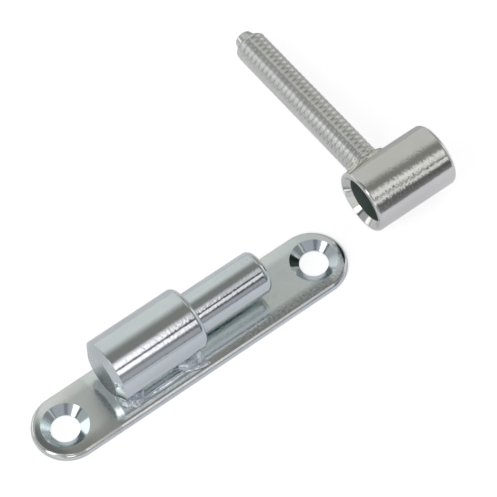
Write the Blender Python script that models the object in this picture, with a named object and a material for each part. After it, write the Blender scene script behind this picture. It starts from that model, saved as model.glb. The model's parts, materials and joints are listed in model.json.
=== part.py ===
"""Drill in hinge: a screw-on pin plate and a lift-off barrel with a threaded stud.

Frame: the origin is the middle of the plate's back face, +Z points out of the plate's
front, and +X runs along the hinge pin towards its free tip. The barrel half is lifted off,
in line with the pin, and turned as it would lie on a table.
"""

import math

import bmesh
import bpy
from mathutils import Matrix, Vector

# Mounting plate
plate_length = 0.0824
plate_width = 0.0163
plate_thickness = 0.0018
plate_edge_radius = 0.0010
screw_end_distance = 0.00745
screw_hole_diameter = 0.0066
countersink_diameter = 0.0109
countersink_land = 0.0003

# Round stock shared by the knuckle and the barrel, and where its axis lies
stock_diameter = 0.0150
turning_clearance = 0.0006
axis_offset = 0.0013

# Knuckle, welded to the plate
knuckle_start = -0.0222
knuckle_length = 0.0234
knuckle_end_chamfer = 0.0022
knuckle_end_chamfer_length = 0.0012
shoulder_radius = 0.0013

# Weld feet under the knuckle
weld_foot_length = 0.0042
weld_foot_width = 0.0112
weld_foot_height = 0.0042
weld_foot_inset = 0.0034

# Hinge pin, pressed into the knuckle
pin_diameter = 0.0103
pin_reach = 0.0192
pin_seat_depth = 0.0120
pin_tip_radius = 0.0016

# Barrel, lifted off the pin
barrel_length = 0.0215
barrel_wall_at_end = 0.0019
barrel_mouth_rim = 0.0005
barrel_mouth_cone = 0.0014
barrel_mouth_edge = 0.0004
barrel_end_radius = 0.0011
lift_off_distance = 0.0467

# Threaded stud, welded to the side of the barrel
stud_diameter = 0.0078
stud_reach = 0.0540
stud_place = 0.0073
dog_base_diameter = 0.0050
dog_tip_diameter = 0.0043
dog_length = 0.0021
dog_shoulder_length = 0.0009
dog_chamfer = 0.0003

# Gaps that the meshes keep, and how finely round things are faceted
fit_gap = 0.0003
cut_margin = 0.0010
round_steps = 64
corner_steps = 5
merge_distance = 0.00001

# Worked out from the sizes above
screw_spacing = plate_length - 2 * screw_end_distance
stock_radius = stock_diameter / 2
axis_height = plate_thickness + stock_radius + turning_clearance
shoulder_x = knuckle_start + knuckle_length
mouth_x = shoulder_x + lift_off_distance
pin_radius = pin_diameter / 2
bore_radius = pin_radius + fit_gap
stud_radius = stud_diameter / 2


def clear_scene():
    for thing in list(bpy.data.objects):
        bpy.data.objects.remove(thing, do_unlink=True)


def zinc(name, color, roughness):
    """Bright zinc plate on steel, one material for each sub-part."""
    material = bpy.data.materials.new(name)
    material.use_nodes = True
    shader = material.node_tree.nodes["Principled BSDF"]
    shader.inputs["Base Color"].default_value = (*color, 1.0)
    shader.inputs["Metallic"].default_value = 1.0
    shader.inputs["Roughness"].default_value = roughness
    return material


def add_object(name, bm, material=None):
    """Turn a bmesh into a linked object, smooth on its round faces."""
    mesh = bpy.data.meshes.new(name)
    bm.to_mesh(mesh)
    bm.free()
    mesh.shade_smooth()
    mesh.set_sharp_from_angle(angle=math.radians(30))
    if material is not None:
        mesh.materials.append(material)
    thing = bpy.data.objects.new(name, mesh)
    bpy.context.collection.objects.link(thing)
    return thing


def as_cutter(thing):
    thing.hide_render = True
    thing.display_type = "WIRE"
    return thing


def combine(target, other, operation):
    """Add a live Boolean modifier, cut or joined by another object."""
    modifier = target.modifiers.new(operation.title(), "BOOLEAN")
    modifier.operation = operation
    modifier.object = as_cutter(other)
    modifier.solver = "EXACT"


def arc(center, radius, start_deg, end_deg, steps):
    """Points (radius from the axis, height) on an arc, both ends included."""
    points = []
    for step in range(steps + 1):
        angle = math.radians(start_deg + (end_deg - start_deg) * step / steps)
        points.append((center[0] + radius * math.cos(angle), center[1] + radius * math.sin(angle)))
    return points


def turned(name, profile, material=None):
    """Turn a profile of (radius, height) round the local Z axis.

    The profile starts and ends on the axis, and runs down its outer side.
    """
    bm = bmesh.new()
    verts = [bm.verts.new((radius, 0.0, height)) for radius, height in profile]
    for first, second in zip(verts, verts[1:]):
        bm.edges.new((first, second))
    thing = add_object(name, bm, material)
    screw = thing.modifiers.new("Turn", "SCREW")
    screw.axis = "Z"
    screw.steps = round_steps
    screw.render_steps = round_steps
    screw.use_merge_vertices = True
    screw.merge_threshold = merge_distance
    screw.use_smooth_shade = True
    return thing


def lay_along_pin(thing, location, parent=None):
    """Place a turned piece with its local Z axis along +X."""
    thing.parent = parent
    thing.location = location
    thing.rotation_euler = (0.0, math.radians(90), 0.0)


def countersink_cutter(name, x):
    """Screw hole and its cone, as one turned cutter through the plate."""
    hole = screw_hole_diameter / 2
    head = countersink_diameter / 2
    cone_slope = (head - hole) / (plate_thickness - countersink_land)
    cutter = turned(name, [
        (0.0, plate_thickness + cut_margin),
        (head + cone_slope * cut_margin, plate_thickness + cut_margin),
        (hole, countersink_land),
        (hole, -cut_margin),
        (0.0, -cut_margin),
    ])
    cutter.location = (x, 0.0, 0.0)
    return cutter


def build_plate():
    """Stadium plate with a rolled top edge and two countersunk screw holes."""
    end_radius = plate_width / 2
    end_center = plate_length / 2 - end_radius
    half_steps = round_steps // 2
    outline = arc((end_center, 0.0), end_radius, -90, 90, half_steps)
    outline += arc((-end_center, 0.0), end_radius, 90, 270, half_steps)

    bm = bmesh.new()
    verts = [bm.verts.new((x, y, plate_thickness)) for x, y in outline]
    top = bm.faces.new(verts)
    grown = bmesh.ops.extrude_face_region(bm, geom=[top])
    lower = [item for item in grown["geom"] if isinstance(item, bmesh.types.BMVert)]
    bmesh.ops.translate(bm, vec=(0.0, 0.0, -plate_thickness), verts=lower)
    bmesh.ops.recalc_face_normals(bm, faces=bm.faces)
    half_way = plate_thickness / 2
    rim = [edge for edge in bm.edges
           if min(vert.co.z for vert in edge.verts) > half_way]
    bmesh.ops.bevel(bm, geom=rim, offset=plate_edge_radius, segments=corner_steps,
                    profile=0.5, affect="EDGES")

    plate = add_object("mounting_plate", bm, zinc("plate zinc", (0.62, 0.66, 0.65), 0.22))
    for side in (-1, 1):
        cutter = countersink_cutter(f"countersink_{side}", side * screw_spacing / 2)
        combine(plate, cutter, "DIFFERENCE")
    return plate


def weld_foot(name, x):
    """Squashed bead of weld between the knuckle and the plate, flat underneath."""
    bm = bmesh.new()
    bmesh.ops.create_uvsphere(bm, u_segments=20, v_segments=12, radius=0.5)
    size = Matrix.Diagonal((weld_foot_length, weld_foot_width, weld_foot_height, 1.0))
    bmesh.ops.transform(bm, matrix=size, verts=bm.verts)
    seat = plate_thickness + fit_gap
    middle = plate_thickness + turning_clearance
    cut = bmesh.ops.bisect_plane(
        bm, geom=bm.verts[:] + bm.edges[:] + bm.faces[:], dist=merge_distance,
        plane_co=(0.0, 0.0, seat - middle), plane_no=(0.0, 0.0, -1.0), clear_outer=True)
    rim = [item for item in cut["geom_cut"] if isinstance(item, bmesh.types.BMEdge)]
    bmesh.ops.contextual_create(bm, geom=rim)
    bmesh.ops.recalc_face_normals(bm, faces=bm.faces)
    foot = add_object(name, bm)
    foot.location = (x, axis_offset, middle)
    return foot


def build_knuckle():
    """Solid length of round stock, bored for the pin, on two weld feet."""
    bore_floor = knuckle_length - pin_seat_depth - fit_gap
    profile = [(0.0, bore_floor), (bore_radius, bore_floor), (bore_radius, knuckle_length)]
    profile += arc((stock_radius - shoulder_radius, knuckle_length - shoulder_radius),
                   shoulder_radius, 90, 0, corner_steps)
    profile += [
        (stock_radius, knuckle_end_chamfer_length),
        (stock_radius - knuckle_end_chamfer, 0.0),
        (0.0, 0.0),
    ]
    knuckle = turned("knuckle", profile, zinc("knuckle zinc", (0.60, 0.63, 0.63), 0.20))
    lay_along_pin(knuckle, (knuckle_start, axis_offset, axis_height))
    feet = (knuckle_start + weld_foot_inset, shoulder_x - weld_foot_inset)
    for number, x in enumerate(feet, 1):
        combine(knuckle, weld_foot(f"weld_foot_{number}", x), "UNION")
    return knuckle


def build_pin():
    """Pin with a rounded tip. Its origin is on the swing axis, at the shoulder."""
    profile = [(0.0, pin_reach)]
    profile += arc((pin_radius - pin_tip_radius, pin_reach - pin_tip_radius),
                   pin_tip_radius, 90, 0, corner_steps)
    profile += [(pin_radius, -pin_seat_depth), (0.0, -pin_seat_depth)]
    pin = turned("hinge_pin", profile, zinc("pin zinc", (0.60, 0.62, 0.64), 0.16))
    lay_along_pin(pin, (shoulder_x, axis_offset, axis_height))
    return pin


def stud_down_angle():
    """How far below level the stud points when barrel and thread both lie on a table."""
    thread_end = stud_reach - dog_length - dog_shoulder_length
    to_thread_edge = math.hypot(thread_end, stud_radius)
    return math.asin(stock_radius / to_thread_edge) - math.atan2(stud_radius, thread_end)


def door_half_axis():
    """Empty on the swing axis at the barrel's mouth, turned to the stud's lie."""
    axis = bpy.data.objects.new("door_half_axis", None)
    bpy.context.collection.objects.link(axis)
    axis.location = (mouth_x, axis_offset, axis_height)
    axis.rotation_euler = (-(math.radians(90) + stud_down_angle()), 0.0, 0.0)
    return axis


def build_barrel(axis):
    """Barrel with a blind bore and a wide conical mouth, which drops over the pin."""
    bore_end = barrel_length - barrel_wall_at_end
    mouth_radius = stock_radius - barrel_mouth_edge - barrel_mouth_rim
    profile = [(0.0, barrel_length)]
    profile += arc((stock_radius - barrel_end_radius, barrel_length - barrel_end_radius),
                   barrel_end_radius, 90, 0, corner_steps)
    profile += [
        (stock_radius, barrel_mouth_edge),
        (stock_radius - barrel_mouth_edge, 0.0),
        (mouth_radius, 0.0),
        (bore_radius, barrel_mouth_cone),
        (bore_radius, bore_end),
        (0.0, bore_end),
    ]
    barrel = turned("barrel", profile, zinc("barrel zinc", (0.62, 0.62, 0.62), 0.18))
    lay_along_pin(barrel, (0.0, 0.0, 0.0), axis)
    return barrel


def build_stud(axis):
    """Stud with a tapered dog point, its root cut to the round of the barrel."""
    dog_base = stud_reach - dog_length
    dog_tip_radius = dog_tip_diameter / 2
    root = stock_radius - stud_radius
    stud = turned("threaded_stud", [
        (0.0, stud_reach),
        (dog_tip_radius - dog_chamfer, stud_reach),
        (dog_tip_radius, stud_reach - dog_chamfer),
        (dog_base_diameter / 2, dog_base),
        (stud_radius, dog_base - dog_shoulder_length),
        (stud_radius, root),
        (0.0, root),
    ], zinc("stud zinc", (0.62, 0.63, 0.58), 0.30))
    stud.parent = axis
    stud.location = (stud_place, 0.0, 0.0)

    saddle_radius = stock_radius + fit_gap
    saddle = turned("saddle_cutter", [
        (0.0, stud_diameter),
        (saddle_radius, stud_diameter),
        (saddle_radius, -stud_diameter),
        (0.0, -stud_diameter),
    ])
    lay_along_pin(saddle, (stud_place, 0.0, 0.0), axis)
    combine(stud, saddle, "DIFFERENCE")
    return stud


def main():
    clear_scene()
    build_plate()
    build_knuckle()
    build_pin()
    axis = door_half_axis()
    build_barrel(axis)
    build_stud(axis)


main()
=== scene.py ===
import json
import math

import bpy
from mathutils import Matrix, Vector


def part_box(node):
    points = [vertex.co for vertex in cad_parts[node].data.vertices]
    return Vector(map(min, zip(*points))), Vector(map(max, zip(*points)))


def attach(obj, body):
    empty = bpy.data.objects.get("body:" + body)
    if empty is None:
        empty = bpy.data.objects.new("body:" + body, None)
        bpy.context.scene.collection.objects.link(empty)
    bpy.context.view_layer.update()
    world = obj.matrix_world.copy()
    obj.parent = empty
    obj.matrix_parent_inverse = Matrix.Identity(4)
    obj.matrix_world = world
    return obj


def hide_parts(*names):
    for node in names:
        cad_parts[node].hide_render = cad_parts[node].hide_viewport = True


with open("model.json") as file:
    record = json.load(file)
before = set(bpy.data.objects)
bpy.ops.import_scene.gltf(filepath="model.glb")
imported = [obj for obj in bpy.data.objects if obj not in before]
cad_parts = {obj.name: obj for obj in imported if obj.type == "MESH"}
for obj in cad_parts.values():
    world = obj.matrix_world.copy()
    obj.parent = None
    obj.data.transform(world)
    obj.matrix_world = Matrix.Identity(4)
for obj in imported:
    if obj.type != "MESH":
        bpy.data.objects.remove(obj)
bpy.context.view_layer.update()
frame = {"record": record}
print("frame loaded")


# shader maths: a socket that takes + - *

class Wire:
    def __init__(self, tree, socket):
        self.tree = tree
        self.socket = socket

    def node(self, kind, settings=None, inputs=None, out=0):
        new = self.tree.nodes.new(kind)
        for name, setting in (settings or {}).items():
            setattr(new, name, setting)
        for key, value in (inputs or {}).items():
            if isinstance(value, Wire):
                self.tree.links.new(value.socket, new.inputs[key])
            else:
                new.inputs[key].default_value = value
        return Wire(self.tree, new.outputs[out])

    def math(self, operation, first, second=0.0):
        return self.node("ShaderNodeMath", {"operation": operation}, {0: first, 1: second})

    def __add__(self, other): return self.math("ADD", self, other)
    def __radd__(self, other): return self.math("ADD", other, self)
    def __sub__(self, other): return self.math("SUBTRACT", self, other)
    def __rsub__(self, other): return self.math("SUBTRACT", other, self)
    def __mul__(self, other): return self.math("MULTIPLY", self, other)
    def __rmul__(self, other): return self.math("MULTIPLY", other, self)

    def absolute(self): return self.math("ABSOLUTE", self)

    def parts(self):
        split = self.node("ShaderNodeSeparateXYZ", None, {0: self}).socket.node
        return [Wire(self.tree, out) for out in split.outputs]

    def rise(self, start, end, low=0.0, high=1.0):
        # smooth step between two values
        inputs = {0: self, 1: start, 2: end, 3: low, 4: high}
        return self.node("ShaderNodeMapRange", {"interpolation_type": "SMOOTHSTEP"}, inputs)

    def mixColors(self, first, second, blend="MIX"):
        settings = {"data_type": "RGBA", "blend_type": blend}
        return self.node("ShaderNodeMix", settings, {"Factor": self, 6: first, 7: second}, out=2)


inDegrees = 180 / math.pi


# camera, fitted to the outlines in the photograph

camera = {
    "aim": (0.02088, 0.00629, 0.01169),
    "azimuth": 32.732,
    "elevation": 59.171,
    "roll": -4.492,
    "distance": 0.71687,
    "lens": 237.22,
    "sensor": 36.0,
}


def addCamera():
    turn = (Matrix.Rotation(math.radians(-camera["azimuth"]), 4, "Z")
            @ Matrix.Rotation(math.radians(90 - camera["elevation"]), 4, "X")
            @ Matrix.Rotation(math.radians(camera["roll"]), 4, "Z"))
    back = turn.to_3x3() @ Vector((0, 0, 1))
    data = bpy.data.cameras.new("camera")
    data.lens = camera["lens"]
    data.sensor_width = camera["sensor"]
    data.clip_start = 0.01
    holder = bpy.data.objects.new("camera", data)
    bpy.context.collection.objects.link(holder)
    place = Vector(camera["aim"]) + camera["distance"] * back
    holder.matrix_world = Matrix.Translation(place) @ turn
    bpy.context.scene.camera = holder


addCamera()
print("camera set")


# light: a pale room, with two strip lamps at the front and dark gaps round them

light = {
    "tent": (0.735, 0.76, 0.74, 1),
    "strength": 1.0,
    # turn is measured round the X axis in degrees, from straight up towards +Y,
    # and along is the part of the direction that points along +X
    "bands": [
        {"name": "dim right wall", "turn": (32, 100), "soft": (20, 10), "along": (0.282, 2),
         "ends": 0.02, "color": (0.60, 0.605, 0.585, 1)},
        {"name": "dark right end", "turn": (22, 96), "soft": (16, 8), "along": (0.64, 2),
         "ends": 0.10, "color": (0.36, 0.36, 0.33, 1)},
        {"name": "dim left wall", "turn": (44, 92), "soft": (12, 6), "along": (-1.3, 0.02),
         "ends": 0.08, "color": (0.47, 0.475, 0.49, 1)},
        {"name": "front of the room", "turn": (-99, -14), "soft": (10, 16), "along": (-0.74, 0.85),
         "ends": 0.08, "color": (0.42, 0.425, 0.45, 1)},
        {"name": "front of the room, right part", "turn": (-62, -24), "soft": (8, 16),
         "along": (0.36, 0.66), "ends": 0.03, "color": (0.26, 0.26, 0.27, 1)},
        {"name": "dark right front", "turn": (-96, -60), "soft": (12, 8), "along": (0.290, 0.60),
         "ends": 0.020, "color": (0.18, 0.18, 0.18, 1)},
        {"name": "open top", "turn": (-19, 25), "soft": (16, 32), "along": (-0.30, 0.75),
         "ends": 0.08, "color": (0.245, 0.245, 0.23, 1)},
        {"name": "dark left side", "turn": (6, 60), "soft": (12, 12), "along": (-1.3, -0.42),
         "ends": 0.10, "color": (0.42, 0.43, 0.44, 1)},
        {"name": "dark corner", "turn": (6, 40), "soft": (10, 12), "along": (-0.48, 0.03),
         "ends": 0.10, "color": (0.14, 0.15, 0.155, 1)},
        {"name": "gap under the lamps", "turn": (-73, -64), "soft": (5, 4), "along": (-0.3, 0.254),
         "ends": 0.016, "color": (0.31, 0.31, 0.33, 1)},
        {"name": "gap under the lamps, right part", "turn": (-74, -63), "soft": (5, 4),
         "along": (0.254, 0.60), "ends": 0.016, "color": (0.12, 0.12, 0.13, 1)},
        {"name": "lower lamp", "turn": (-61, -47), "soft": (6, 4), "along": (0.19, 0.252),
         "ends": 0.012, "color": (1.46, 1.36, 1.41, 1)},
        {"name": "lower lamp, middle part", "turn": (-62, -47), "soft": (7, 4),
         "along": (0.252, 0.292), "ends": 0.012, "color": (1.00, 0.97, 0.98, 1)},
        {"name": "lower lamp, right part", "turn": (-59.5, -47), "soft": (6, 4),
         "along": (0.292, 0.36), "ends": 0.012, "color": (0.90, 0.90, 0.88, 1)},
        {"name": "upper lamp", "turn": (-39, -21), "soft": (5, 20), "along": (0.19, 0.252),
         "ends": 0.012, "color": (1.50, 1.40, 1.44, 1)},
        {"name": "upper lamp, middle part", "turn": (-39, -20), "soft": (6, 16),
         "along": (0.252, 0.292), "ends": 0.012, "color": (0.63, 0.61, 0.62, 1)},
        {"name": "upper lamp, right part", "turn": (-39, -17.5), "soft": (5, 12),
         "along": (0.292, 0.36), "ends": 0.012, "color": (0.92, 0.92, 0.90, 1)},
        {"name": "gap between the lamps", "turn": (-45.5, -41.5), "soft": (3, 3),
         "along": (0.19, 0.252), "ends": 0.012, "color": (0.20, 0.20, 0.21, 1)},
        {"name": "gap between the lamps, middle part", "turn": (-48, -39.5), "soft": (3, 3),
         "along": (0.252, 0.292), "ends": 0.012, "color": (0.06, 0.06, 0.07, 1)},
        {"name": "gap between the lamps, right part", "turn": (-46.5, -40.5), "soft": (3, 3),
         "along": (0.292, 0.36), "ends": 0.012, "color": (0.10, 0.10, 0.10, 1)},
        {"name": "side lamp", "turn": (-30, 40), "soft": (10, 10), "along": (0.96, 1.2),
         "ends": 0.04, "color": (1.30, 1.32, 1.34, 1)},
    ],
    # further along, the bands lie a little higher or lower: (from, to, degrees)
    "steps": ((0.250, 0.286, -5.0), (0.292, 0.352, 16.0)),
    # and the open top lies lower still, with its near edge
    "topStep": (0.274, 0.290, 4.0), "topTurns": (-15, 10),
    # side is measured round the Z axis in degrees, from +X towards +Y, and down from straight up
    "windows": [
        {"name": "left window", "side": 183, "down": 51, "tilt": 0, "width": 7, "height": 18,
         "soft": 4, "color": (2.40, 2.40, 2.40, 1)},
        {"name": "far left window", "side": 116, "down": 79.5, "tilt": 27, "width": 20, "height": 7,
         "soft": 4, "color": (1.22, 1.26, 1.26, 1)},
        {"name": "dark picture", "side": 224, "down": 39, "tilt": 0, "width": 6, "height": 5,
         "soft": 4, "color": (0.22, 0.22, 0.25, 1)},
        {"name": "window frame", "side": 167, "down": 52, "tilt": 0, "width": 3, "height": 9,
         "soft": 2, "color": (0.12, 0.12, 0.13, 1)},
        {"name": "top lamp", "side": 231, "down": 19, "tilt": 0, "width": 5, "height": 5, "soft": 3,
         "color": (1.60, 1.60, 1.60, 1)},
        {"name": "front left lamp", "side": 240, "down": 59, "tilt": 0, "width": 9, "height": 7,
         "soft": 4, "color": (1.80, 1.80, 1.80, 1)},
    ],
}


def windowMask(direction, window):
    # soft edged rectangle, far away
    side, down = math.radians(window["side"]), math.radians(window["down"])
    level = math.sin(down)
    ahead = Vector((math.cos(side) * level, math.sin(side) * level, math.cos(down)))
    right = Vector((-math.sin(side), math.cos(side), 0))
    upward = ahead.cross(right)
    lean = Matrix.Rotation(math.radians(window["tilt"]), 3, ahead)
    right, upward = lean @ right, lean @ upward
    start = Wire(direction.tree, None)
    depth, across, over = [start.node("ShaderNodeVectorMath", {"operation": "DOT_PRODUCT"},
                                      {0: direction, 1: way}, out="Value")
                           for way in (ahead, right, upward)]
    mask = depth.rise(0.0, 0.01)  # nothing behind
    for part, half in ((across, window["width"]), (over, window["height"])):
        angle = start.math("ARCTAN2", part, depth).absolute() * inDegrees
        mask = mask * (1 - angle.rise(half - window["soft"] / 2, half + window["soft"] / 2))
    return mask


def addLight():
    world = bpy.data.worlds.new("tent")
    world.use_nodes = True
    bpy.context.scene.world = world
    tree = world.node_tree
    tree.nodes.clear()
    start = Wire(tree, None)
    direction = start.node("ShaderNodeTexCoord")
    x, y, z = direction.parts()
    turn = start.math("ARCTAN2", y, z) * inDegrees
    for stepFrom, stepTo, stepTurn in light["steps"]:
        turn = turn + x.rise(stepFrom, stepTo) * stepTurn
    stepFrom, stepTo, stepTurn = light["topStep"]
    turn = turn + x.rise(stepFrom, stepTo) * turn.rise(*light["topTurns"]) * stepTurn
    color = light["tent"]
    for band in light["bands"]:
        (low, high), (softLow, softHigh) = band["turn"], band["soft"]
        mask = turn.rise(low - softLow / 2, low + softLow / 2)
        mask = mask * (1 - turn.rise(high - softHigh / 2, high + softHigh / 2))
        (left, right), ends = band["along"], band["ends"] / 2
        mask = mask * x.rise(left - ends, left + ends) * (1 - x.rise(right - ends, right + ends))
        color = mask.mixColors(color, band["color"])
    for window in light["windows"]:
        color = windowMask(direction, window).mixColors(color, window["color"])
    seen = start.node("ShaderNodeLightPath")
    color = seen.mixColors(color, (1, 1, 1, 1))
    shine = start.node("ShaderNodeBackground", None,
                       {"Color": color, "Strength": light["strength"]})
    tree.links.new(shine.socket, tree.nodes.new("ShaderNodeOutputWorld").inputs["Surface"])


floor = {
    "size": 6.0,
    "drop": 0.00002,
    "color": (0.90, 0.89, 0.90, 1),
    "lift": 0.60,
    # painted glow on the table that only polished metal sees, by the distance across it
    "paintedSheen": ((-0.130, (0.08, 0.08, 0.10, 1)), (-0.095, (0.09, 0.09, 0.12, 1)),
              (-0.068, (0.12, 0.12, 0.15, 1)), (-0.046, (0.23, 0.23, 0.28, 1)),
              (0.0, (0.18, 0.18, 0.20, 1)), (0.03, (0.13, 0.13, 0.14, 1))),
    # the painted glow is brighter in its right part
    "rightShare": 0.10, "rightFromX": (0.030, 0.050),
    # beside the stud the painted glow is brighter on the left and darker on the right
    "studFromY": (0.012, 0.024), "leftOfStud": (0.010, 0.030), "leftShare": 0.6,
    "rightOfStud": (0.056, 0.064), "dimShare": 1.6,
    # and its near right corner has painted shade, seen only in reflections
    "paintedShadeEnd": 0.55, "paintedShadeInSheen": 1.8, "darkFromX": (0.045, 0.075), "darkFromY": (-0.080, -0.112),
}


def addFloor():
    bpy.ops.object.select_all(action="DESELECT")
    bpy.ops.mesh.primitive_plane_add(size=floor["size"], location=(0, 0, -floor["drop"]))
    table = bpy.context.object
    table.name = "table"
    material = bpy.data.materials.new("white table")
    material.use_nodes = True
    tree = material.node_tree
    tree.nodes.clear()
    start = Wire(tree, None)
    x, y, z = start.node("ShaderNodeTexCoord", out=3).parts()
    mirrored = start.node("ShaderNodeLightPath", out="Is Glossy Ray")
    # painted shade in the near right corner, for reflections only
    dark = x.rise(*floor["darkFromX"]) * y.rise(*floor["darkFromY"]) * floor["paintedShadeEnd"]
    matt = start.node("ShaderNodeBsdfDiffuse", None,
                      {"Color": (dark * mirrored).mixColors(floor["color"], (0, 0, 0, 1))})
    seen = start.node("ShaderNodeLightPath") * floor["lift"]
    glow = start.node("ShaderNodeEmission", None, {"Color": (1, 1, 1, 1), "Strength": seen})
    # the table glows for reflections only: a painted reflection, lit by no lamp
    paintedSheenColor = floor["paintedSheen"][0][1]
    for (before, _), (after, color) in zip(floor["paintedSheen"], floor["paintedSheen"][1:]):
        paintedSheenColor = y.rise(before, after).mixColors(paintedSheenColor, color)
    beside = x.rise(*floor["leftOfStud"]) * floor["leftShare"]
    beside = beside - x.rise(*floor["rightOfStud"]) * floor["dimShare"]
    share = 1 + x.rise(*floor["rightFromX"]) * floor["rightShare"]
    share = share + y.rise(*floor["studFromY"]) * beside
    share = mirrored * share * (1 - dark * floor["paintedShadeInSheen"])
    paintedSheen = start.node("ShaderNodeEmission", None, {"Color": paintedSheenColor, "Strength": share})
    both = start.node("ShaderNodeAddShader", None, {0: matt, 1: glow})
    both = start.node("ShaderNodeAddShader", None, {0: both, 1: paintedSheen})
    tree.links.new(both.socket, tree.nodes.new("ShaderNodeOutputMaterial").inputs["Surface"])
    table.data.materials.append(material)


addLight()
addFloor()
bpy.context.scene.view_settings.view_transform = "Standard"
print("light and table set")


# finishes

finishes = {
    "detail": 2.0,
    "fineDetail": 3.0,
    "cloudStep": (0.35, 0.65),
    "grainStep": (0.3, 0.7),
    "darkFlecks": (0.40, 0.60),
    "brightFlecks": (0.52, 0.66),
    "seatEdge": 0.0001,
}


def fleckStrip(place, strip):
    # from and to are degrees from straight up round a center, or else metres across the plate
    x, y, z = place.parts()
    start = Wire(place.tree, None)
    (low, lowToo), (high, highToo) = strip["from"], strip["to"]
    if "center" not in strip:
        return y.rise(low, lowToo) * (1 - y.rise(high, highToo)) * x.rise(*strip["fromX"])
    sideways, upwards = y - strip["center"][0], z - strip["center"][1]
    angle = start.math("ARCTAN2", sideways, upwards) * inDegrees
    near, far = strip["distance"]
    outside = (sideways * sideways + upwards * upwards).rise(near * near, far * far)
    return angle.rise(low, lowToo) * (1 - angle.rise(high, highToo)) * outside


def zinc(name, look, seats=None):
    material = bpy.data.materials.new(name)
    material.use_nodes = True
    tree = material.node_tree
    shader = tree.nodes["Principled BSDF"]
    start = Wire(tree, None)
    place = start.node("ShaderNodeTexCoord", out=3)
    clouds = start.node("ShaderNodeTexNoise", None,
                        {"Vector": place, "Scale": look["cloudScale"],
                         "Detail": finishes["fineDetail"]})
    color = clouds.rise(*finishes["cloudStep"]).mixColors(look["color"], look["colorToo"])
    grain = start.node("ShaderNodeTexNoise", None,
                       {"Vector": place, "Scale": look["grainScale"],
                        "Detail": finishes["detail"]})
    rough = grain.rise(*finishes["grainStep"], *look["roughness"])
    if seats:
        # the drilled cones stay brighter than the stamped face round them
        x, y, z = place.parts()
        away = start.math("POWER", x.absolute() - seats["holeAt"], 2.0)
        away = away + start.math("POWER", y, 2.0)
        rim, soft = seats["head"], finishes["seatEdge"]
        drilled = 1 - start.math("SQRT", away).rise(rim - soft, rim + soft)
        rough = rough * (1 - drilled) + drilled * look["seatRoughness"]
        # the face is less blue than they are, least of all at its left end
        faceTint = x.rise(*look["leftEnd"]).mixColors(look["leftTint"], look["faceTint"])
        color = (1 - drilled).mixColors(color, faceTint, "MULTIPLY")
        # and the face in front of the knuckle is duller
        dull = x.rise(*look["dullFrom"]) * (1 - x.rise(*look["dullTo"]))
        rough = rough + dull * (1 - drilled) * look["dull"]
    if "dullEnd" in look:
        # a sawn end, not turned
        rough = rough + (1 - place.parts()[0].rise(*look["dullEnd"])) * look["dull"]
    waves = start.node("ShaderNodeTexNoise", None,
                       {"Vector": place, "Scale": look["waveScale"],
                        "Detail": finishes["detail"]})
    height = waves * look["waveHeight"] + grain * look["grainHeight"]
    bump = start.node("ShaderNodeBump", None, {"Height": height, "Distance": 1.0})
    if "flecks" in look:
        # dark and bright flecks along a strip; on the barrel the strip is where it mirrors the dark
        # front of the room, so there they are painted shade and painted highlight
        flecks = start.node("ShaderNodeTexNoise", None,
                            {"Vector": place, "Scale": look["fleckScale"],
                             "Detail": finishes["fineDetail"]})
        fleckMask = fleckStrip(place, look["flecks"])
        dark = 1 - flecks.rise(*finishes["darkFlecks"])
        bright = flecks.rise(*finishes["brightFlecks"])
        color = (fleckMask * dark).mixColors(color, look["fleckDark"])
        color = (fleckMask * bright).mixColors(color, look["fleckBright"])
    tree.links.new(color.socket, shader.inputs["Base Color"])
    tree.links.new(rough.socket, shader.inputs["Roughness"])
    tree.links.new(bump.socket, shader.inputs["Normal"])
    shader.inputs["Metallic"].default_value = 1.0
    return material


plateLook = {
    "color": (0.71, 0.79, 0.81, 1), "colorToo": (0.76, 0.83, 0.84, 1), "cloudScale": 120,
    "roughness": (0.12, 0.17), "grainScale": 1800, "grainHeight": 0.000004,
    "waveScale": 260, "waveHeight": 0.00001, "seatRoughness": 0.11,
    "faceTint": (1.025, 0.990, 0.970, 1), "leftTint": (1.06, 0.985, 0.945, 1),
    "leftEnd": (-0.030, -0.014),
    "dull": 0.16, "dullFrom": (-0.034, -0.028), "dullTo": (-0.0246, -0.0236),
    "flecks": {"from": (-0.0076, -0.0070), "to": (-0.0062, -0.0040), "fromX": (0.000, 0.012)},
    "fleckScale": 2200, "fleckDark": (0.63, 0.67, 0.69, 1), "fleckBright": (0.79, 0.84, 0.85, 1),
}
stockLook = {
    "color": (0.69, 0.74, 0.76, 1), "colorToo": (0.72, 0.77, 0.78, 1), "cloudScale": 120,
    "roughness": (0.05, 0.09), "grainScale": 1500, "grainHeight": 0.000009,
    "waveScale": 500, "waveHeight": 0.000006, "dull": 0.20,
}
barrelLook = {
    "color": (0.74, 0.74, 0.71, 1), "colorToo": (0.77, 0.77, 0.74, 1), "cloudScale": 120,
    "roughness": (0.05, 0.10), "grainScale": 1500, "grainHeight": 0.000012,
    "waveScale": 500, "waveHeight": 0.000006,
    "fleckScale": 2800, "fleckDark": (0.62, 0.62, 0.60, 1), "fleckBright": (0.82, 0.82, 0.80, 1),
}
boreLook = {
    "color": (0.36, 0.43, 0.40, 1), "colorToo": (0.38, 0.45, 0.42, 1), "cloudScale": 120,
    "roughness": (0.50, 0.60), "grainScale": 2500, "grainHeight": 0.0000006,
    "waveScale": 1500, "waveHeight": 0.00001,
}
studLook = {
    "color": (0.71, 0.71, 0.68, 1), "colorToo": (0.75, 0.75, 0.72, 1), "cloudScale": 300,
    "roughness": (0.14, 0.18), "grainScale": 2500, "grainHeight": 0.000001,
    "waveScale": 700, "waveHeight": 0.000004,
}
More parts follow.
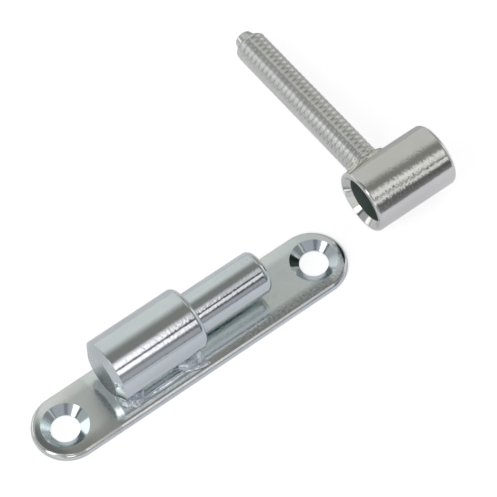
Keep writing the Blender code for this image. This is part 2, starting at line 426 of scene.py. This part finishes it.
weldLook = {
    "color": (0.66, 0.71, 0.77, 1), "colorToo": (0.75, 0.79, 0.85, 1), "cloudScale": 600,
    "roughness": (0.26, 0.40), "grainScale": 3000, "grainHeight": 0.000004,
    "waveScale": 1200, "waveHeight": 0.00002,
}
# thin bright beads on the plate, coloured far brighter than the zinc round them: a painted
# highlight where the plate mirrors the knuckle's underside
highlightBeadLook = {
    "color": (0.86, 0.90, 0.94, 1), "colorToo": (0.90, 0.93, 0.96, 1), "cloudScale": 600,
    "roughness": (0.06, 0.12), "grainScale": 3000, "grainHeight": 0.0000006,
    "waveScale": 1200, "waveHeight": 0.000004,
}
rootWeldLook = {
    "color": (0.74, 0.73, 0.62, 1), "colorToo": (0.80, 0.79, 0.70, 1), "cloudScale": 600,
    "roughness": (0.16, 0.26), "grainScale": 4000, "grainHeight": 0.0000006,
    "waveScale": 1200, "waveHeight": 0.00004,
}


# modelling helpers

mergeWithin = 0.000002


def begin():
    if bpy.context.object and bpy.context.object.mode != "OBJECT":
        bpy.ops.object.mode_set(mode="OBJECT")
    bpy.ops.object.select_all(action="DESELECT")


def rounded(corners, steps=6):
    # corners are (along, out, radius): a corner with a radius becomes an arc
    points = []
    for index, (along, out, radius) in enumerate(corners):
        corner = Vector((along, out))
        if radius == 0 or index in (0, len(corners) - 1):
            points.append(corner)
            continue
        back = (Vector(corners[index - 1][:2]) - corner).normalized()
        ahead = (Vector(corners[index + 1][:2]) - corner).normalized()
        half = back.angle(ahead) / 2
        middle = corner + (back + ahead).normalized() * (radius / math.sin(half))
        first = corner + back * (radius / math.tan(half)) - middle
        last = corner + ahead * (radius / math.tan(half)) - middle
        sweep = first.angle_signed(last)
        for step in range(steps + 1):
            turn = Matrix.Rotation(-sweep * step / steps, 2)
            points.append(middle + turn @ first)
    return points


def drawLine(name, points):
    # one point, extruded along the outline
    begin()
    bpy.ops.mesh.primitive_plane_add(size=0.001, location=(0, 0, 0))
    piece = bpy.context.object
    piece.name = name
    bpy.ops.object.mode_set(mode="EDIT")
    bpy.ops.mesh.select_all(action="SELECT")
    bpy.ops.mesh.merge(type="CENTER")
    bpy.ops.transform.translate(value=points[0])
    for before, after in zip(points, points[1:]):
        step = Vector(after) - Vector(before)
        bpy.ops.mesh.extrude_region_move(TRANSFORM_OT_translate={"value": step})
    return piece


def spinRound(center, axis, steps):
    bpy.ops.mesh.select_all(action="SELECT")
    bpy.ops.mesh.spin(steps=steps, angle=2 * math.pi, center=center, axis=axis)
    bpy.ops.mesh.select_all(action="SELECT")
    bpy.ops.mesh.remove_doubles(threshold=mergeWithin)
    bpy.ops.mesh.normals_make_consistent(inside=False)


def smooth(piece, degrees=32):
    begin()
    piece.select_set(True)
    bpy.context.view_layer.objects.active = piece
    bpy.ops.object.shade_smooth_by_angle(angle=math.radians(degrees))


def applyModifiers(piece):
    begin()
    piece.select_set(True)
    bpy.context.view_layer.objects.active = piece
    for modifier in list(piece.modifiers):
        bpy.ops.object.modifier_apply(modifier=modifier.name)


def keepFlat(piece):
    # long and large faces keep their own normals, so that they mirror without a bulge
    flat = piece.modifiers.new("flat", "WEIGHTED_NORMAL")
    flat.weight = 100
    flat.keep_sharp = True
    applyModifiers(piece)


def finish(piece, node, body, material):
    piece.data.materials.clear()
    piece.data.materials.append(material)
    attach(piece, body)
    if node:
        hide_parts(node)
    print(piece.name, "done,", len(piece.data.polygons), "faces")


# where things lie, from the solids

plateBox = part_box("mounting_plate")
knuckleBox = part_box("knuckle")
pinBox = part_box("hinge_pin")
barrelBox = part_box("barrel")
stockRadius = (barrelBox[1][2] - barrelBox[0][2]) / 2
axisY = (barrelBox[0][1] + barrelBox[1][1]) / 2
axisZ = (barrelBox[0][2] + barrelBox[1][2]) / 2
pinRadius = (pinBox[1][2] - pinBox[0][2]) / 2
axisPoint = (0, axisY, axisZ)
print("stock radius", stockRadius, "axis", axisY, axisZ, "pin", pinRadius)


def turnAlongPin(name, corners, steps=128):
    # corners are (x, radius, rounding)
    points = [(along, axisY, axisZ + out) for along, out in rounded(corners)]
    piece = drawLine(name, points)
    spinRound(axisPoint, (1, 0, 0), steps)
    smooth(piece)
    keepFlat(piece)
    return piece


# mounting plate

plate = {
    "edge": 0.0012,
    "edgeTurn": 84,
    "edgeSteps": 8,
    "pillow": 0.0038,
    "pillowDrop": 0.00026,
    "pillowSteps": 6,
    "holeAt": 0.03375,
    "hole": 0.0033,
    "head": 0.00545,
    "land": 0.0003,
    "cutOver": 0.001,
    "sides": 160,
    "holeSides": 96,
}


def edgeProfile():
    # (inwards, up) from the side of the plate to its flat top
    top, edge = plateBox[1][2], plate["edge"]
    pillowLow = top - plate["pillowDrop"]
    profile = []
    for index in range(plate["edgeSteps"] + 1):
        angle = math.radians(plate["edgeTurn"] * index / plate["edgeSteps"])
        profile.append((edge * (1 - math.cos(angle)), pillowLow - edge * (1 - math.sin(angle))))
    inward, low = profile[-1]
    for index in range(1, plate["pillowSteps"] + 1):
        share = index / plate["pillowSteps"]
        profile.append((inward + (plate["pillow"] - inward) * share,
                        low + (top - low) * (1 - (1 - share) ** 2)))
    return profile


def makePlate():
    low, high = plateBox
    radius = (high[1] - low[1]) / 2
    reach = (high[0] - low[0]) / 2 - radius
    begin()
    bpy.ops.mesh.primitive_circle_add(vertices=plate["sides"], radius=radius,
                                      fill_type="NGON", location=(0, 0, 0))
    piece = bpy.context.object
    piece.name = "platePressed"
    mesh = piece.data
    # the circle is drawn apart into two round ends
    for side in (-1, 1):
        begin()
        for vertex in mesh.vertices:
            vertex.select = vertex.co.x * side > radius * 0.001
        for edge in mesh.edges:
            edge.select = all(mesh.vertices[v].select for v in edge.vertices)
        for face in mesh.polygons:
            face.select = False
        piece.select_set(True)
        bpy.ops.object.mode_set(mode="EDIT")
        bpy.ops.transform.translate(value=(side * reach, 0, 0))
        bpy.ops.object.mode_set(mode="OBJECT")
    bpy.ops.object.mode_set(mode="EDIT")
    bpy.ops.mesh.select_all(action="SELECT")
    profile = edgeProfile()
    bpy.ops.mesh.extrude_region_move(TRANSFORM_OT_translate={"value": (0, 0, profile[0][1])})
    for before, after in zip(profile, profile[1:]):
        bpy.ops.mesh.inset(thickness=after[0] - before[0], depth=after[1] - before[1])
    bpy.ops.object.mode_set(mode="OBJECT")
    for side in (-1, 1):
        cutHole(piece, side * plate["holeAt"])
    return piece


def cutHole(piece, x):
    # screw hole with its cone, turned as one cutter
    top = plateBox[1][2]
    slope = (plate["head"] - plate["hole"]) / (top - plate["land"])
    over = plate["cutOver"]
    corners = [(top + over, 0, 0), (top + over, plate["head"] + slope * over, 0),
               (plate["land"], plate["hole"], 0), (-over, plate["hole"], 0), (-over, 0, 0)]
    cutter = drawLine("holeCutter", [(x + out, 0, along) for along, out in rounded(corners)])
    spinRound((x, 0, 0), (0, 0, 1), plate["holeSides"])
    begin()
    cut = piece.modifiers.new("hole", "BOOLEAN")
    cut.operation = "DIFFERENCE"
    cut.solver = "EXACT"
    cut.object = cutter
    applyModifiers(piece)
    bpy.data.objects.remove(cutter)


plateZinc = zinc("plate zinc", plateLook, plate)
platePiece = makePlate()
smooth(platePiece)
keepFlat(platePiece)
finish(platePiece, "mounting_plate", "frame_half", plateZinc)


# knuckle and pin

knuckle = {
    "chamferOut": 0.0022,
    "chamferAlong": 0.0012,
    "chamferRounding": 0.00015,
    "shoulderRounding": 0.0013,
    "seatDepth": 0.0123,
    "seatGap": 0.0003,
}
pin = {"tipRounding": 0.0016, "seatDepth": 0.0120}


def makeKnuckle():
    start, end = knuckleBox[0][0], knuckleBox[1][0]
    bore = pinRadius + knuckle["seatGap"]
    return turnAlongPin("knuckleTurned", [
        (end - knuckle["seatDepth"], 0, 0),
        (end - knuckle["seatDepth"], bore, 0),
        (end, bore, 0),
        (end, stockRadius, knuckle["shoulderRounding"]),
        (start + knuckle["chamferAlong"], stockRadius, knuckle["chamferRounding"]),
        (start, stockRadius - knuckle["chamferOut"], knuckle["chamferRounding"]),
        (start, 0, 0),
    ])


def makePin():
    start, end = pinBox[0][0], pinBox[1][0]
    return turnAlongPin("pinGround", [
        (end, 0, 0),
        (end, pinRadius, pin["tipRounding"]),
        (start, pinRadius, 0),
        (start, 0, 0),
    ])


sawn = knuckleBox[0][0]
stockZinc = zinc("knuckle zinc", {**stockLook, "dullEnd": (sawn + 0.0001, sawn + 0.0003)})
pinZinc = zinc("pin zinc", stockLook)
finish(makeKnuckle(), "knuckle", "frame_half", stockZinc)
finish(makePin(), "hinge_pin", "pin", pinZinc)


# barrel

barrel = {
    "endRounding": 0.0011,
    "mouthEdge": 0.0007,
    "mouthRim": 0.0002,
    "mouthRounding": 0.0001,
    "cone": 0.0014,
    "boreGap": 0.0003,
    "wallAtEnd": 0.0019,
}


def makeBarrel():
    start, end = barrelBox[0][0], barrelBox[1][0]
    bore = pinRadius + barrel["boreGap"]
    mouth = stockRadius - barrel["mouthEdge"] - barrel["mouthRim"]
    return turnAlongPin("barrelTurned", [
        (end, 0, 0),
        (end, stockRadius, barrel["endRounding"]),
        (start, stockRadius, barrel["mouthEdge"]),
        (start, mouth, barrel["mouthRounding"]),
        (start + barrel["cone"], bore, barrel["mouthRounding"]),
        (end - barrel["wallAtEnd"], bore, 0),
        (end - barrel["wallAtEnd"], 0, 0),
    ])


def dullBore(piece, material):
    # the bore gets a darker, duller zinc than the outside
    piece.data.materials.append(material)
    margin = 0.0001
    bore = pinRadius + barrel["boreGap"]
    mouth, end = barrelBox[0][0] + barrel["cone"], barrelBox[1][0]
    for face in piece.data.polygons:
        out = math.hypot(face.center.y - axisY, face.center.z - axisZ)
        if out < bore + margin and mouth < face.center.x < end - margin:
            face.material_index = 1


# the strip where the barrel mirrors the dark right front of the room: its flecks are painted shade
# and painted highlight
barrelShadeFlecks = {"center": (axisY, axisZ), "from": (-62, -57), "to": (-51, -45),
              "distance": (0.0070, 0.0073)}
barrelZinc = zinc("barrel zinc", {**barrelLook, "flecks": barrelShadeFlecks})
boreZinc = zinc("bore zinc", boreLook)
barrelPiece = makeBarrel()
finish(barrelPiece, "barrel", "door_half", barrelZinc)
dullBore(barrelPiece, boreZinc)


# threaded stud

stud = {
    "radius": 0.0039,
    "pitch": 0.00143,
    "depth": 0.00030,
    "sharpness": 1.4,
    "pointsPerTurn": 12,
    "sides": 48,
    "spareTurns": 2,  # cut off again at both ends
    "start": 0.0064,
    "shoulder": 0.0009,
    "dogBase": 0.0025,
    "dogTip": 0.00215,
    "dogLength": 0.0020,
    "dogRounding": 0.0004,
    "dogSteps": 4,
    "spare": 0.00007,  # keeps the tip inside the CAD's box
}
studMount = next(mount for mount in frame["record"]["mounts"] if mount["name"] == "stud_end")
studTip = Vector(studMount["pos_m"])
studLine = Vector(studMount["axis"])
studFoot = Vector((studTip.x, axisY, axisZ))
studReach = (studTip - studFoot).length


def threadRadius(share):
    # share runs from 0 to 1 over one turn; the crest is flat and the root is round
    sharp = stud["sharpness"]
    wave = math.tanh(sharp * math.cos(2 * math.pi * share)) / math.tanh(sharp)
    return stud["radius"] - stud["depth"] * (1 - wave) / 2


def makeStud():
    # built upright on the Z axis, then laid along the stud's line
    count = stud["pointsPerTurn"]
    low = stud["start"] - stud["spareTurns"] * stud["pitch"]
    points = [(threadRadius(index / count), 0, low + stud["pitch"] * index / count)
              for index in range(count + 1)]
    piece = drawLine("studThreaded", points)
    bpy.ops.object.mode_set(mode="OBJECT")
    threadEnd = studReach - stud["dogLength"] - stud["spare"]
    screw = piece.modifiers.new("thread", "SCREW")
    screw.axis = "Z"
    screw.screw_offset = stud["pitch"]
    screw.iterations = int((threadEnd - low) / stud["pitch"]) + stud["spareTurns"] + 1
    screw.steps = screw.render_steps = stud["sides"]
    screw.use_merge_vertices = True
    screw.merge_threshold = mergeWithin
    applyModifiers(piece)
    bpy.ops.object.mode_set(mode="EDIT")
    for height, outer in ((threadEnd, True), (stud["start"], False)):
        bpy.ops.mesh.select_all(action="SELECT")
        bpy.ops.mesh.bisect(plane_co=(0, 0, height), plane_no=(0, 0, 1), use_fill=True,
                            clear_outer=outer, clear_inner=not outer)
    bpy.ops.mesh.select_all(action="SELECT")
    bpy.ops.mesh.remove_doubles(threshold=mergeWithin)
    bpy.ops.object.mode_set(mode="OBJECT")
    # the thread is turned down to the dog point
    for vertex in piece.data.vertices:
        short = threadEnd - vertex.co.z
        if short < stud["shoulder"]:
            most = stud["dogBase"] + (stud["radius"] - stud["dogBase"]) * short / stud["shoulder"]
            out = math.hypot(vertex.co.x, vertex.co.y)
            if out > most:
                vertex.co.x *= most / out
                vertex.co.y *= most / out
    # the dog point grows out of the end face
    begin()
    for vertex in piece.data.vertices:
        vertex.select = False
    for edge in piece.data.edges:
        edge.select = False
    for face in piece.data.polygons:
        face.select = abs(face.normal.z) > 0.99 and face.center.z > threadEnd - 0.00001
    piece.select_set(True)
    bpy.context.view_layer.objects.active = piece
    bpy.ops.object.mode_set(mode="EDIT")
    bpy.ops.mesh.select_mode(type="FACE")
    rounding = stud["dogRounding"]
    grow = [(stud["dogLength"] - rounding, stud["dogTip"])]
    for index in range(1, stud["dogSteps"] + 1):
        turn = math.radians(90 * index / stud["dogSteps"])
        grow.append((stud["dogLength"] - rounding * (1 - math.sin(turn)),
                     stud["dogTip"] - rounding * (1 - math.cos(turn))))
    height, radius = 0.0, stud["dogBase"]
    for nextHeight, nextRadius in grow:
        step = (0, 0, nextHeight - height)
        bpy.ops.mesh.extrude_region_move(TRANSFORM_OT_translate={"value": step})
        share = nextRadius / radius
        bpy.ops.transform.resize(value=(share, share, 1), center_override=(0, 0, 0))
        height, radius = nextHeight, nextRadius
    bpy.ops.mesh.select_mode(type="VERT")
    bpy.ops.mesh.select_all(action="SELECT")
    bpy.ops.mesh.normals_make_consistent(inside=False)
    lay = Vector((0, 0, 1)).rotation_difference(studLine).to_matrix().to_4x4()
    bpy.ops.object.mode_set(mode="OBJECT")
    piece.data.transform(Matrix.Translation(studFoot) @ lay)
    smooth(piece, degrees=40)
    return piece


studZinc = zinc("stud zinc", studLook)
finish(makeStud(), "threaded_stud", "door_half", studZinc)


# welds, and two thin bright beads whose colour is a painted highlight

feet = {
    # place along and across, half length, half width, half height, degrees of turn
    "left": (-0.0180, -0.0022, 0.0030, 0.0040, 0.0012, 0),
    "right": (-0.0030, 0.0006, 0.0040, 0.0068, 0.0014, 0),
    # two thin bright beads, where the plate mirrors the knuckle's underside; their colour is a
    # painted highlight
    "brightLine": (-0.0104, -0.0051, 0.0066, 0.0007, 0.00042, 0),
    "ridge": (-0.0028, -0.0059, 0.0033, 0.0007, 0.00055, -17),
    "spatterSize": 0.0014,
    "spatterHeight": 0.0010,
    "brightLineHeight": 0.00010,
    "ridgeHeight": 0.00030,
    "segments": 96,
    "rings": 64,
    "lift": 0.00001,
}
rootWeld = {
    "ring": 0.0043,
    "bead": 0.0009,
    "sink": 0.0002,
    "around": 160,
    "sides": 24,
    "spatterSize": 0.0012,
    "spatterHeight": 0.0012,
}


def roughen(piece, size, height):
    spatter = bpy.data.textures.new("spatter", "CLOUDS")
    spatter.noise_scale = size
    spatter.noise_depth = 2
    push = piece.modifiers.new("spatter", "DISPLACE")
    push.texture = spatter
    push.texture_coords = "LOCAL"
    push.strength = height
    push.mid_level = 0.5
    applyModifiers(piece)


def makeFoot(name, place, height):
    # a squashed, lumpy bead on the plate, under the knuckle or beside it: the feet are weld metal,
    # and the two thin bright beads carry a painted highlight
    x, y, halfLength, halfWidth, halfHeight, turn = place
    top = plateBox[1][2]
    begin()
    bpy.ops.mesh.primitive_uv_sphere_add(segments=feet["segments"], ring_count=feet["rings"],
                                         radius=1.0, location=(0, 0, 0))
    piece = bpy.context.object
    piece.name = name
    bpy.ops.object.mode_set(mode="EDIT")
    bpy.ops.mesh.select_all(action="SELECT")
    bpy.ops.transform.resize(value=(halfLength, halfWidth, halfHeight), center_override=(0, 0, 0))
    bpy.ops.transform.rotate(value=math.radians(-turn), orient_axis="Z", center_override=(0, 0, 0))
    bpy.ops.transform.translate(value=(x, y, top))
    bpy.ops.object.mode_set(mode="OBJECT")
    roughen(piece, feet["spatterSize"], height)
    bpy.ops.object.mode_set(mode="EDIT")
    bpy.ops.mesh.select_all(action="SELECT")
    # what lies under the plate's face is cut off
    bpy.ops.mesh.bisect(plane_co=(0, 0, top + feet["lift"]), plane_no=(0, 0, -1),
                        use_fill=True, clear_outer=True)
    smooth(piece, degrees=60)
    return piece


def makeRootWeld():
    # a ring of weld metal, laid over the barrel's round where the stud meets it
    begin()
    bpy.ops.mesh.primitive_torus_add(major_radius=rootWeld["ring"], minor_radius=rootWeld["bead"],
                                     major_segments=rootWeld["around"],
                                     minor_segments=rootWeld["sides"], location=(0, 0, 0))
    piece = bpy.context.object
    piece.name = "rootWeldBead"
    lay = Vector((0, 0, 1)).rotation_difference(studLine).to_matrix()
    along = lay.inverted() @ Vector((1, 0, 0))
    across = along.cross(Vector((0, 0, 1)))
    for vertex in piece.data.vertices:
        side = vertex.co.x * across.x + vertex.co.y * across.y
        vertex.co.z += math.sqrt(stockRadius ** 2 - side ** 2) - rootWeld["sink"]
    piece.data.transform(Matrix.Translation(studFoot) @ lay.to_4x4())
    roughen(piece, rootWeld["spatterSize"], rootWeld["spatterHeight"])
    smooth(piece, degrees=60)
    return piece


weldZinc = zinc("weld zinc", weldLook)
rootWeldZinc = zinc("root weld zinc", rootWeldLook)
# material of the thin bright beads: a painted highlight
highlightBeadZinc = zinc("seam zinc", highlightBeadLook)
for name, place, height, material in (("leftFootWeld", "left", "spatterHeight", weldZinc),
                                      ("rightFootWeld", "right", "spatterHeight", weldZinc),
                                      ("brightLineBead", "brightLine", "brightLineHeight", highlightBeadZinc),
                                      ("ridgeHighlightBead", "ridge", "ridgeHeight", highlightBeadZinc)):
    finish(makeFoot(name, feet[place], feet[height]), None, "frame_half", material)
finish(makeRootWeld(), None, "door_half", rootWeldZinc)
